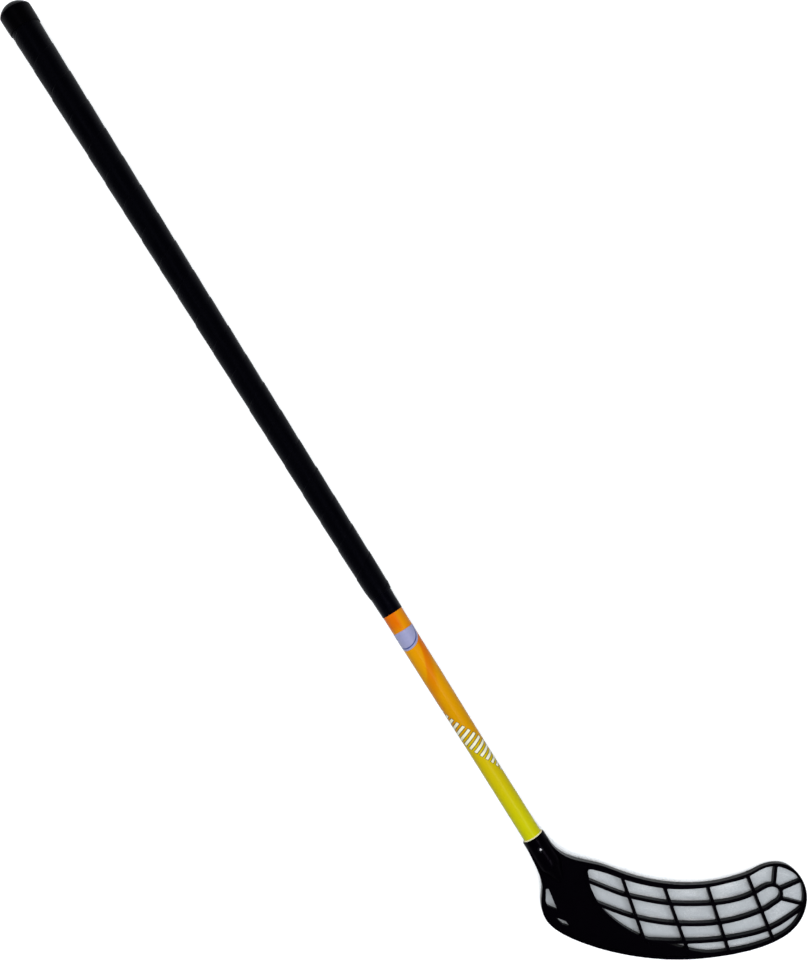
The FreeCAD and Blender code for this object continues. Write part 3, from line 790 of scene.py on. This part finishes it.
def fit(piece: bpy.types.Object, material: bpy.types.Material, body: Body, slot: Slot, *nodes: str) -> None:
    """Dress a piece, let it ride on its body and let it stand for CAD nodes.

    Args:
        piece: The piece.
        material: Its finish.
        body: The body it moves with.
        slot: The record's slot of its finish; not used.
        nodes: The CAD nodes that it stands for.
    """
    piece.data.materials.clear()
    piece.data.materials.append(material)
    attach(piece, body.value)
    if nodes:
        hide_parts(*nodes)
    LOG.info("%s: %d faces, on %s", piece.name, len(piece.data.polygons), body.value)


def dress_node(name: str, material: bpy.types.Material) -> None:
    """Give a CAD node that stays its finish.

    Args:
        name: The node.
        material: The finish.
    """
    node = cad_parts[name]
    node.data.materials.clear()
    node.data.materials.append(material)
    LOG.info("%s: CAD node, dressed", name)


@dataclass
class Shaft:
    """The tapered tube, which stays as the CAD has it, with its lacquer."""

    places: tuple[float, ...] = (0.0, 326.9, 664.9, 757.0, 842.0, 972.4)
    radii: tuple[float, ...] = (13.5, 11.65, 10.5, 10.25, 9.45, 9.45)

    def radius(self, place: np.ndarray) -> np.ndarray:
        """The tube's outside radius, straight between its stations."""
        return np.interp(place, self.places, self.radii)

    def build(self) -> None:
        """Dress the tube."""
        dress_node("shaft_tube", LacquerFinish().material())


@dataclass
class EndCap:
    """The domed rubber cap with its skirt and its hollow plug."""

    apex: float = -10.4
    dome_radius: float = 19.533
    skirt_radius: float = 16.45
    skirt_end: float = 18.2
    skirt_bore: float = 13.8
    seat: float = -0.2
    plug_radius: float = 11.464
    plug_end: float = 24.0
    plug_bore: float = 8.864
    hollow_end: float = -5.9
    edge_round: float = 2.4
    lip_round: float = 0.7
    taper: float = 0.35
    segments: int = 112
    sharp_degrees: float = 35.0

    def outside(self) -> np.ndarray:
        """The profile from the apex over the dome, down the skirt to its edge.

        The dome is an arc about a point on the axis and the edge an arc that touches dome and skirt. The
        skirt draws in a little towards its end, with the square of the way down.

        Returns:
            Rows of a place and a radius.
        """
        middle = self.apex + self.dome_radius
        inner = self.skirt_radius - self.edge_round
        tip = math.degrees(math.acos(-math.sqrt(1 - (inner / (self.dome_radius - self.edge_round)) ** 2)))
        round_middle = middle + (self.dome_radius - self.edge_round) * math.cos(math.radians(tip))
        dome = arc((middle, 0.0), self.dome_radius, 180.0, tip, 20)
        edge = arc((round_middle, inner), self.edge_round, tip, 90.0, 8)[1:]
        places = np.linspace(round_middle, self.skirt_end - self.lip_round, 24)[1:]
        way = (places - round_middle) / (self.skirt_end - round_middle)
        skirt = np.stack((places, self.skirt_radius - self.taper * way ** 2), axis=-1)
        lip_middle = (self.skirt_end - self.lip_round, skirt[-1, 1] - self.lip_round)
        lip = arc(lip_middle, self.lip_round, 90.0, 0.0, 6)
        return np.vstack((dome, edge, skirt, lip[1:]))

    def inside(self) -> np.ndarray:
        """The profile from the skirt's edge back along its bore, round the plug and into its hollow.

        Returns:
            Rows of a place and a radius.
        """
        bevel = self.lip_round
        return np.array((
            (self.skirt_end, self.skirt_bore + bevel / 2), (self.skirt_end - bevel / 2, self.skirt_bore),
            (self.seat, self.skirt_bore), (self.seat, self.plug_radius),
            (self.plug_end - bevel, self.plug_radius), (self.plug_end, self.plug_radius - bevel),
            (self.plug_end, self.plug_bore), (self.hollow_end, self.plug_bore), (self.hollow_end, 0.0),
        ))

    def build(self) -> None:
        """Make the cap."""
        profile = np.vstack((self.outside(), self.inside()))
        piece = make_piece("end_cap_rubber", turned(profile, self.segments), self.sharp_degrees)
        finish = MouldedFinish(Slot.CAP, (0, 0, 1), (3, 3, 4), (0.34, 0.46), 1400.0, 0.00006, 0.035)
        fit(piece, finish.material(), Body.CAP, Slot.CAP, "end_cap")


@dataclass
class Grip:
    """The soft band, wound down the tube with each turn's upper edge lapped over the turn before."""

    shaft: Shaft
    start: float = 18.45
    end: float = 665.1
    turns: int = 21
    steps: int = 88
    lap: float = 3.2
    clearance: float = 0.15
    wander: float = 0.45
    swell: float = 0.06
    skin_floor: float = 1.0
    tail: float = 7.0
    tail_drop: float = 0.5

    def section(self, pitch: float) -> np.ndarray:
        """The band's section, a closed loop of distances from its upper edge and heights over the tube.

        Args:
            pitch: Millimetres from turn to turn.

        Returns:
            Rows of a distance and a height.
        """
        low = self.clearance
        return np.array((
            (0.0, 1.58), (0.12, 1.82), (0.5, 1.98), (1.3, 2.04), (0.2 * pitch, 1.98), (0.45 * pitch, 1.88),
            (0.7 * pitch, 1.77), (0.88 * pitch, 1.68), (pitch - 0.9, 1.60), (pitch - 0.1, 1.48),
            (pitch + self.lap, 1.05), (pitch + self.lap, low), (0.5 * pitch, low), (self.lap + 0.6, low),
            (self.lap, 1.10), (0.4, 1.50),
        ))

    def build(self) -> None:
        """Make the band.

        The section is carried down a helix: its place grows by the pitch each turn, with a slow wander
        made of sines, and is held between the grip's two ends, which trims the first and the last turn. The
        band thins with the square of the way along its last few millimetres, where the tape presses it.
        """
        pitch = (self.end - self.start) / (self.turns - 1)
        turn = np.linspace(0.0, self.turns, self.turns * self.steps + 1)[:, None]
        across, height = self.section(pitch).T[:, None, :]
        stray = self.wander * (np.sin(4.1 * turn) + 0.6 * np.sin(9.7 * turn + 1.1))
        bulge = self.swell * (np.sin(2.3 * turn + 0.4) + np.sin(6.2 * turn))
        place = np.clip(self.start + pitch * (turn - 1.0) + stray + across, self.start, self.end)
        ending = np.clip((place - self.end + self.tail) / self.tail, 0.0, 1.0) ** 2
        thick = (height + bulge * (height > self.skin_floor)) * (1.0 - self.tail_drop * ending)
        radius = self.shaft.radius(place) + thick
        angle = 2 * np.pi * turn
        run = MM * np.cumsum(radius.max(axis=1, keepdims=True), axis=0) * (2 * np.pi / self.steps)
        chart = np.stack(np.broadcast_arrays(run, MM * across), axis=-1)
        surface = net(round_axis(place, radius, angle), chart, wrap_columns=True)
        fit(make_piece("grip_band", surface), GripFinish().material(), Body.STICK, Slot.GRIP, "grip_tape")


@dataclass
class FinishTape:
    """The black tape wound round the grip's lower end in a short spiral."""

    shaft: Shaft
    start: float = 665.2
    end: float = 686.2
    turns: float = 2.25
    steps: int = 96
    film: float = 0.05
    layer: float = 0.15
    build_up: float = 0.34
    wrinkle: float = 0.045
    columns: int = 16
    first_angle: float = 2.4
    chart_radius: float = 11.0
    back_offset: float = 30.0

    def build(self) -> None:
        """Make the tape.

        A thin closed section is carried along a spiral: each turn lies a layer higher than the one before.
        The tape stands higher against the grip, and low waves run round it there.
        """
        turn = np.linspace(0.0, self.turns, int(self.turns * self.steps) + 1)[:, None]
        share = np.linspace(0.0, 1.0, self.columns)
        across = np.concatenate((share, share[::-1]))[None, :]
        upper = np.concatenate((np.ones(self.columns), np.zeros(self.columns)))[None, :]
        angle = 2 * np.pi * turn + self.first_angle
        place = self.start + (self.end - self.start) * across
        rise = self.build_up * (1.0 - across) ** 1.5
        waves = self.wrinkle * np.sin(7 * angle + 9 * across) * np.sin(np.pi * across) * (turn > 1.0)
        height = self.film + self.layer * (turn * 0.45 + upper * 0.9) + upper * rise + waves * upper
        run, aside = MM * self.chart_radius * angle, MM * (place + self.back_offset * (1 - upper))
        chart = np.stack(np.broadcast_arrays(run, aside), axis=-1)
        surface = net(round_axis(place, self.shaft.radius(place) + height, angle), chart, wrap_columns=True)
        surface = close_ends(surface, turn.size, across.size)
        piece = make_piece("finish_tape_wrap", surface)
        fit(piece, TapeFinish().material(), Body.STICK, Slot.TAPE, "grip_finish_tape")


def close_ends(surface: Surface, rows: int, columns: int) -> Surface:
    """Close both ends of a section's sweep: each face joins two upper points to two lower ones.

    Args:
        surface: The sweep.
        rows: Steps of the sweep.
        columns: Points of its section, the lower half running back under the upper.

    Returns:
        The surface with its ends.
    """
    first = np.arange(columns // 2 - 1)
    cover = np.stack((first, first + 1, columns - 2 - first, columns - 1 - first), axis=-1)
    faces = np.vstack((surface.faces, cover, cover + (rows - 1) * columns))
    return Surface(surface.points, faces, surface.chart)


@dataclass
class Label:
    """The blank sticker below the grip: half a disc, straight above and round below."""

    shaft: Shaft
    start: float = 705.5
    disc_radius: float = 19.8
    disc_aside: float = 4.4
    least_reach: float = 0.3
    first_turn: float = -85.0
    last_turn: float = 95.0
    film: float = 0.05
    thickness: float = 0.15
    columns: int = 96
    rows: int = 22

    def build(self) -> None:
        """Make the film.

        The way round the shaft is measured from the disc's middle. The lower edge is the circle about that
        middle, and each row is a share of the way down to it. The second UV part is the distance inside the
        circle.
        """
        turn = np.radians(np.linspace(self.last_turn, self.first_turn, self.columns))[None, :]
        aside = self.shaft.radius(np.array(self.start)) * turn - self.disc_aside
        reach = np.sqrt(np.maximum(self.disc_radius ** 2 - aside ** 2, self.least_reach ** 2))
        share = np.linspace(0.0, 1.0, self.rows)[:, None]
        place = self.start + share * reach
        radius = self.shaft.radius(place) + self.film + self.thickness
        inset = self.disc_radius - np.hypot(aside, share * reach)
        chart = np.stack(np.broadcast_arrays(MM * radius * turn, MM * inset), axis=-1)
        piece = make_piece("label_sticker", net(round_axis(place, radius, turn), chart))
        self.turn_outwards(piece)
        wall = piece.modifiers.new("film", "SOLIDIFY")
        wall.thickness = MM * self.thickness
        wall.offset = -1.0
        fit(piece, LabelFinish().material(), Body.STICK, Slot.LABEL, "shaft_label")

    def turn_outwards(self, piece: bpy.types.Object) -> None:
        """Turn the film's faces away from the shaft's axis.

        Args:
            piece: The label.
        """
        face = piece.data.polygons[0]
        if face.normal.y * face.center.y + face.normal.z * face.center.z < 0:
            piece.data.flip_normals()


@dataclass
class Glue:
    """The glue: the CAD's fill inside the socket, and its uneven bead at the mouth."""

    mouth: float = 942.4
    tube_radius: float = 9.45
    reach: float = 1.0
    height: float = 1.05
    sink: float = 0.25
    bury: float = 0.05
    segments: int = 144

    def build(self) -> None:
        """Make the bead.

        Its profile is half an oval that stands on the tube and leans on the socket's mouth. Sines of the
        angle swell and shrink it a little on its way round.
        """
        angle = np.linspace(0.0, 2 * np.pi, self.segments, endpoint=False)[None, :]
        slow, quick = 0.05 * np.sin(3 * angle + 0.6), 0.04 * np.sin(8 * angle + 1.9)
        sway = 1.0 + slow + quick + 0.02 * np.sin(17 * angle)
        around = np.radians(np.linspace(0.0, 180.0, 15))[:, None]
        back = self.mouth + self.sink
        place = back - (self.reach + self.sink) * np.sin(around / 2) ** 1.3 * np.ones_like(sway)
        lift = self.height * np.cos(around / 2) ** 0.7 * sway
        radius = self.tube_radius - self.bury + lift
        under = round_axis(np.array(((back,),)), np.full_like(angle, self.tube_radius - 2 * self.bury), angle)
        points = np.concatenate((round_axis(place, radius, angle), under))
        chart = np.zeros(points.shape[:2] + (2,))
        surface = net(points, chart, wrap_rows=True, wrap_columns=True)
        finish = GlueFinish().material()
        fit(make_piece("glue_bead", surface), finish, Body.STICK, Slot.GLUE)
        dress_node("socket_glue", finish)


@dataclass
class Blade:
    """The moulded blade: the CAD's solid with its edges softened."""

    merge: float = 2e-6
    flat_degrees: float = 0.6
    rim_round: float = 1.1
    edge_round: float = 0.35
    edge_degrees: float = 38.0
    wall_share: float = 0.6
    socket_end: float = 985.0
    round_steps: int = 3

    def rounding(self, mesh: bpy.types.Mesh) -> tuple[np.ndarray, np.ndarray]:
        """Work out how much each edge is rounded, as a share of the rim's round.

        Faces whose normals lie flat are walls, and walls that meet share a number, the least among them.
        The wall that holds the toe's furthest point is the outside. Its sharp edges get the full share,
        other sharp edges a small one. The socket keeps the CAD's own edges.

        Args:
            mesh: The joined mesh, with two faces at each edge.

        Returns:
            One share for each edge, and which of the socket's edges stay sharp.
        """
        edge_of = np.empty(len(mesh.loops), dtype=np.int32)
        mesh.loops.foreach_get("edge_index", edge_of)
        sizes, normals, middles = (np.empty(len(mesh.polygons) * width) for width in (1, 3, 3))
        mesh.polygons.foreach_get("loop_total", sizes)
        mesh.polygons.foreach_get("normal", normals)
        mesh.polygons.foreach_get("center", middles)
        normals = normals.reshape(-1, 3)
        face_of = np.repeat(np.arange(sizes.size), sizes.astype(np.int64))
        pairs = face_of[np.argsort(edge_of, kind="stable")].reshape(-1, 2)
        wall = np.abs(normals[:, 2]) < self.wall_share
        inner = pairs[wall[pairs].all(axis=1)]
        group = np.arange(sizes.size)
        before = None
        while before is None or (group != before).any():
            before = group.copy()
            least = group[inner].min(axis=1)
            np.minimum.at(group, inner[:, 0], least)
            np.minimum.at(group, inner[:, 1], least)
            group = group[group]
        toe = np.argmax(np.where(wall, middles.reshape(-1, 3)[:, 0], -np.inf))
        outside = wall & (group == group[toe])
        ends = np.empty(len(mesh.edges) * 2, dtype=np.int32)
        spots = np.empty(len(mesh.vertices) * 3)
        mesh.edges.foreach_get("vertices", ends)
        mesh.vertices.foreach_get("co", spots)
        past_socket = (spots.reshape(-1, 3)[ends.reshape(-1, 2), 0] > MM * self.socket_end).all(axis=1)
        meeting = (normals[pairs[:, 0]] * normals[pairs[:, 1]]).sum(axis=1)
        sharp = meeting < math.cos(math.radians(self.edge_degrees))
        rim = outside[pairs].any(axis=1) & ~wall[pairs].all(axis=1)
        share = np.where(rim, 1.0, self.edge_round / self.rim_round)
        return np.where(sharp & past_socket, share, 0.0), sharp & ~past_socket

    def build(self) -> None:
        """Copy the CAD's mesh, join its loose triangles, and round its edges past the socket."""
        work = bmesh.new()
        work.from_mesh(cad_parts["blade"].data)
        bmesh.ops.remove_doubles(work, verts=work.verts, dist=self.merge)
        bmesh.ops.dissolve_limit(
            work, angle_limit=math.radians(self.flat_degrees), verts=work.verts, edges=work.edges,
        )
        mesh = bpy.data.meshes.new("blade_moulding")
        work.to_mesh(mesh)
        work.free()
        weights = mesh.attributes.new("bevel_weight_edge", "FLOAT", "EDGE")
        share, kept = self.rounding(mesh)
        weights.data.foreach_set("value", share.astype(np.float32))
        piece = place_mesh("blade_moulding", mesh, ALL_SMOOTH)
        marks = mesh.attributes.get("sharp_edge") or mesh.attributes.new("sharp_edge", "BOOLEAN", "EDGE")
        marks.data.foreach_set("value", kept)
        soft = piece.modifiers.new("edges", "BEVEL")
        soft.width = MM * self.rim_round
        soft.segments = self.round_steps
        soft.limit_method = "WEIGHT"
        soft.use_clamp_overlap = False
        soft.harden_normals = False
        shade = piece.modifiers.new("shading", "WEIGHTED_NORMAL")
        shade.keep_sharp = True
        finish = MouldedFinish(Slot.BLADE, (1, 0, 2), (3, 2, 5), (0.24, 0.32), 1100.0, 0.00004, 0.02)
        fit(piece, finish.material(), Body.STICK, Slot.BLADE, "blade")


@dataclass
class Screw:
    """The blade's screw: the CAD's screw in steel, with a thread wound on its shank."""

    place: float = 954.9
    shank_radius: float = 1.7
    crest: float = 0.24
    half_width: float = 0.32
    lowest: float = 5.0
    highest: float = 9.5
    turns: float = 4.5
    steps: int = 40
    sharp_degrees: float = 30.0

    def build(self) -> None:
        """Make the thread.

        A pointed section is carried up a helix round the screw's axis, and thins at both ends.
        """
        share = np.linspace(0.0, 1.0, int(self.turns * self.steps) + 1)[:, None]
        angle = 2 * np.pi * self.turns * share
        out = np.array((0.0, 1.0, 0.0))[None, :]
        side = np.array((-self.half_width, 0.0, self.half_width))[None, :]
        fade = np.clip(np.minimum(share, 1.0 - share) * 8.0, 0.02, 1.0)
        radius = self.shank_radius + self.crest * out * fade
        height = self.lowest + (self.highest - self.lowest) * share + side * fade
        points = MM * np.stack(np.broadcast_arrays(
            self.place + radius * np.cos(angle), radius * np.sin(angle), height), axis=-1)
        chart = np.zeros(points.shape[:2] + (2,))
        surface = net(points, chart, wrap_columns=True)
        finish = SteelFinish().material()
        fit(make_piece("screw_thread", surface, self.sharp_degrees), finish, Body.SCREW, Slot.STEEL)
        dress_node("blade_screw", finish)


@dataclass(frozen=True)
class Lamp:
    """A square lamp: where it hangs, the point it faces, its side in metres, its watts, and its shine."""

    name: str
    place: Triple
    aim: Triple
    size: float
    power: float
    shines: bool

    def hang(self) -> None:
        """Hang the lamp, hidden from the camera, and in glossy surfaces too unless it shines."""
        light = bpy.data.lights.new(self.name, "AREA")
        light.shape = "SQUARE"
        light.size = self.size
        light.energy = self.power
        lamp = bpy.data.objects.new(self.name, light)
        bpy.context.scene.collection.objects.link(lamp)
        lamp.location = self.place
        east, north, up = np.array(self.aim) - np.array(self.place)
        tilt = math.atan2(math.hypot(east, north), -up)
        lamp.rotation_euler = (tilt, 0.0, math.atan2(-east, north))
        lamp.visible_camera = False
        lamp.visible_glossy = self.shines


@dataclass
class Studio:
    """The floor, the soft lamps, the pale surroundings and the camera."""

    floor_height: float = -0.0166
    floor_slope: float = 0.0038
    floor_half: float = 6.0
    floor_glow: float = 0.88
    glow_near: float = 1.4
    glow_far: float = 2.6
    shade_reach: float = 0.05
    shade_samples: int = 8
    shade_closed: float = 0.77
    shade_open: float = 0.86
    closed_share: float = 0.11
    horizon_light: Triple = (0.26, 0.26, 0.28)
    light_fall: float = 0.7
    horizon_seen: Triple = (1.0, 1.0, 1.0)
    seen_fall: float = 0.3
    zenith: Triple = (0.06, 0.06, 0.07)
    eye: Triple = (0.58355, 0.07789, 1.364)
    roll_degrees: float = 57.86
    frame_height: float = 0.9312
    film: float = 36.0
    lamps: tuple[Lamp, ...] = (
        Lamp("overhead", (0.55, 0.1, 2.6), (0.55, 0.1, 0.0), 1.6, 62.0, False),
        Lamp("side", (0.4, -2.2, 1.5), (0.5, 0.0, 0.0), 1.2, 3.0, True),
        Lamp("crown", (-0.6, -0.2, 2.6), (0.2, 0.0, 0.0), 0.9, 4.0, True),
        Lamp("glint", (1.69, 0.70, 2.6), (0.95, 0.0, 0.0), 0.3, 12.0, True),
    )

    def openness(self, paint: Paint) -> Socket:
        """How open the floor is towards its most open side, from 0 to 1.

        The normal is leaned towards each of four sides, the share of the room that is free within reach is
        found round each leaning normal, and the largest of the four shares is taken. So the shade is deep
        where the stick closes a spot in on all sides, and light beside it.

        Args:
            paint: The floor's material.

        Returns:
            The share.
        """
        facing = paint.node("ShaderNodeNewGeometry").outputs["Normal"]
        most = None
        for side in ((1.0, 0.0, 0.0), (-1.0, 0.0, 0.0), (0.0, 1.0, 0.0), (0.0, -1.0, 0.0)):
            lean = paint.node("ShaderNodeVectorMath", operation="ADD")
            paint.put(lean.inputs[0], facing)
            lean.inputs[1].default_value = side
            unit = paint.node("ShaderNodeVectorMath", operation="NORMALIZE")
            paint.put(unit.inputs[0], lean.outputs[0])
            near = paint.node("ShaderNodeAmbientOcclusion", samples=self.shade_samples)
            near.inputs["Distance"].default_value = self.shade_reach
            paint.put(near.inputs["Normal"], unit.outputs[0])
            free = near.outputs["AO"]
            most = free if most is None else paint.math("MAXIMUM", most, free)
        return most

    def floor(self) -> None:
        """Make the floor, which looks white to the camera and still takes the stick's soft shadow."""
        side = np.linspace(-self.floor_half, self.floor_half, 9)
        east, north = np.meshgrid(side, side, indexing="ij")
        points = np.stack((east, north, self.floor_height + self.floor_slope * east), axis=-1)
        piece = make_piece("floor", net(points, points[..., :2]))
        if piece.data.polygons[0].normal.z < 0:
            piece.data.flip_normals()
        paint = Paint("floor_paper")
        grain = paint.noise(paint.place(), 60.0, 4.0)
        paint.dress(
            Base_Color=paint.mix(grain, linear(158, 165, 171), linear(162, 169, 175)),
            Roughness=0.9,
            Specular_IOR_Level=0.0,
            Emission_Color=(1.0, 1.0, 1.0, 1.0),
        )
        clear = paint.span(self.openness(paint), self.shade_closed, self.shade_open, self.closed_share, 1.0)
        reach = paint.node("ShaderNodeVectorMath", operation="LENGTH")
        paint.put(reach.inputs[0], paint.place())
        far = paint.span(reach.outputs["Value"], self.glow_near, self.glow_far, self.floor_glow, 1.0)
        glow = paint.math("MULTIPLY", clear, far)
        seen = paint.math("MAXIMUM", *paint.rays())
        paint.dress(Emission_Strength=paint.math("MULTIPLY", seen, glow))
        piece.data.materials.append(paint.material)

    def surroundings(self) -> None:
        """Light the room softly from the horizon, and show white behind the stick.

        Rays that light the stick find a pale horizon and a dark top. Mirrored rays find a white horizon that
        darkens sooner, and the camera finds plain white.
        """
        world = bpy.data.worlds.new("studio")
        bpy.context.scene.world = world
        world.use_nodes = True
        sky = Nodes(world.node_tree)
        rise = sky.parts(sky.node("ShaderNodeTexCoord").outputs["Generated"])[2]
        white, top = (*self.horizon_seen, 1.0), (*self.zenith, 1.0)
        lit = sky.ramp(rise, ((0.0, (*self.horizon_light, 1.0)), (self.light_fall, top)))
        shown = sky.ramp(rise, ((0.0, white), (self.seen_fall, top)))
        camera, mirrored = sky.rays()
        behind = sky.mix(camera, sky.mix(mirrored, lit, shown), white)
        sky.put(sky.tree.nodes["Background"].inputs["Color"], behind)

    def camera(self) -> None:
        """Hang the camera straight above, turned so that the sole lies along the picture's lower edge."""
        lens = bpy.data.cameras.new("camera")
        lens.sensor_fit = "AUTO"
        lens.sensor_width = self.film
        lens.lens = self.film * self.eye[2] / self.frame_height
        eye = bpy.data.objects.new("camera", lens)
        eye.location = self.eye
        eye.rotation_euler = (0.0, 0.0, math.radians(self.roll_degrees))
        bpy.context.scene.collection.objects.link(eye)
        bpy.context.scene.camera = eye

    def build(self) -> None:
        """Set the studio up."""
        bpy.context.scene.view_settings.view_transform = "Standard"
        self.floor()
        self.surroundings()
        for lamp in self.lamps:
            lamp.hang()
        self.camera()


def main() -> None:
    """Build the stick's pieces in order, then the studio."""
    logging.basicConfig(level=logging.INFO, format="%(name)s: %(message)s")
    shaft = Shaft()
    for assembly in (shaft, EndCap(), Grip(shaft), FinishTape(shaft), Label(shaft), Glue(), Blade(), Screw()):
        LOG.info("building %s", type(assembly).__name__)
        assembly.build()
    Studio().build()


if __name__ == "__main__":
    main()
